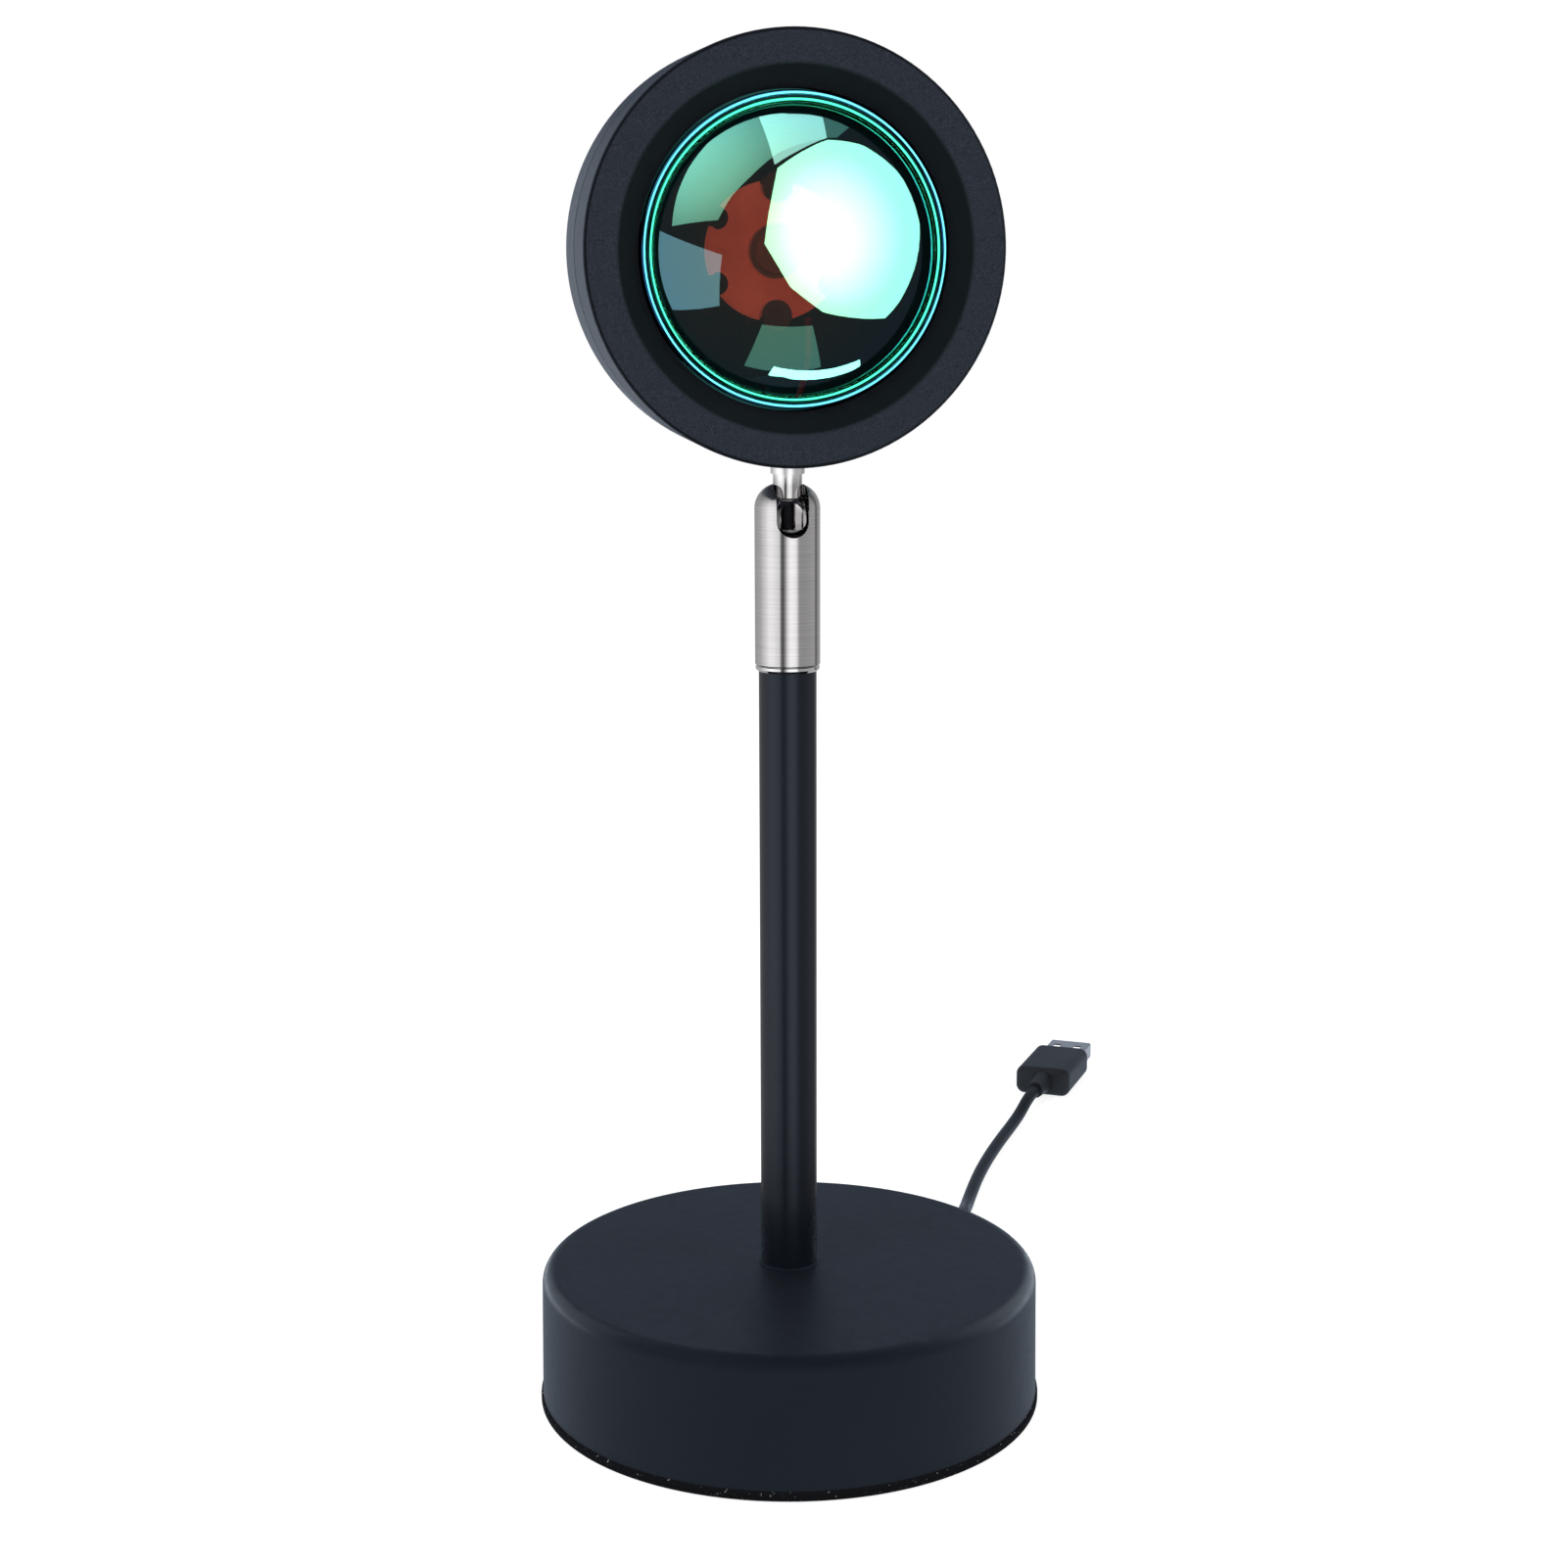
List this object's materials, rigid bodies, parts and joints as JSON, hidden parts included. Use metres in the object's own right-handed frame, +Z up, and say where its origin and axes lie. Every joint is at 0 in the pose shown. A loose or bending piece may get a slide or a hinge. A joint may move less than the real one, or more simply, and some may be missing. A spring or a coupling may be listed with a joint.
{
  "type": "projection lamp",
  "caption": "Small table projection lamp: weighted round base, slim pole, slotted ball joint and a drum head with a domed coated lens, fed by a USB lead.",
  "frame": {"origin": "middle of the base's underside, on the surface that it stands on", "axes": "+Z up along the pole, the lens faces -Y at rest"},
  "size_m": [0.1845, 0.2659, 0.2692],
  "materials": {
    "black_paint": "satin powder coat",
    "black_alloy": "fine sand-textured black coat",
    "cast_weight": "raw casting",
    "foam": "matte closed-cell foam",
    "brushed_nickel": "brushed round the sleeve",
    "polished_chrome": "polished",
    "zinc_steel": "zinc plated",
    "spring_steel": "oiled spring steel",
    "coated_glass": "clear glass with a dichroic coat",
    "seal_rubber": "matte",
    "black_plastic": "moulded, satin",
    "light_board": "lacquered star board",
    "emitter": "clear moulding over a pale chip",
    "sink_alloy": "turned",
    "red_wire": "soft vinyl",
    "black_wire": "soft vinyl",
    "lead_sheath": "soft vinyl, satin",
    "tongue_plastic": "moulded",
    "contact_brass": "gold flash"
  },
  "bodies": {
    "base": {"base_shell": "black_paint", "base_weight": "cast_weight", "base_pad": "foam", "pole": "black_paint", "pole_nipple": "zinc_steel", "pole_washer": "zinc_steel", "pole_nut": "zinc_steel", "inner_lead": "lead_sheath", "strain_relief": "seal_rubber", "joint_coupling": "polished_chrome", "coupling_clip": "spring_steel", "cord_lead_in": "lead_sheath", "cord_coil": "lead_sheath", "cord_tie": "black_plastic", "cord_tail": "lead_sheath", "usb_grip": "black_plastic", "usb_shell": "zinc_steel", "usb_tongue": "tongue_plastic", "usb_contacts": "contact_brass"},
    "swivel": {"joint_sleeve": "brushed_nickel", "sleeve_bush": "contact_brass", "friction_cup": "black_plastic", "joint_spring": "spring_steel"},
    "neck": {"joint_ball": "polished_chrome", "neck_lead": "lead_sheath", "neck_washer": "zinc_steel", "neck_nut": "zinc_steel"},
    "head": {"front_barrel": "black_alloy", "rear_cap": "black_alloy", "lens": "coated_glass", "lens_gasket": "seal_rubber", "lens_ring": "black_plastic", "led_heatsink": "sink_alloy", "led_board": "light_board", "led_emitter": "emitter", "board_screws": "zinc_steel", "head_lead_red": "red_wire", "head_lead_black": "black_wire"}
  },
  "joints": [
    {"name": "sleeve_swivel", "type": "hinge", "parent": "base", "child": "swivel", "pos_m": [0, 0, 0.15], "axis": [0, 0, 1], "range_deg": [-170, 170]},
    {"name": "neck_tilt", "type": "hinge", "parent": "swivel", "child": "neck", "pos_m": [0, 0, 0.178], "axis": [1, 0, 0], "range_deg": [-2.4, 87.6]},
    {"name": "head_turn", "type": "hinge", "parent": "neck", "child": "head", "pos_m": [0, 0, 0.178], "axis": [0, -0.0419, 0.9991], "range_deg": [-90, 90]}
  ]
}
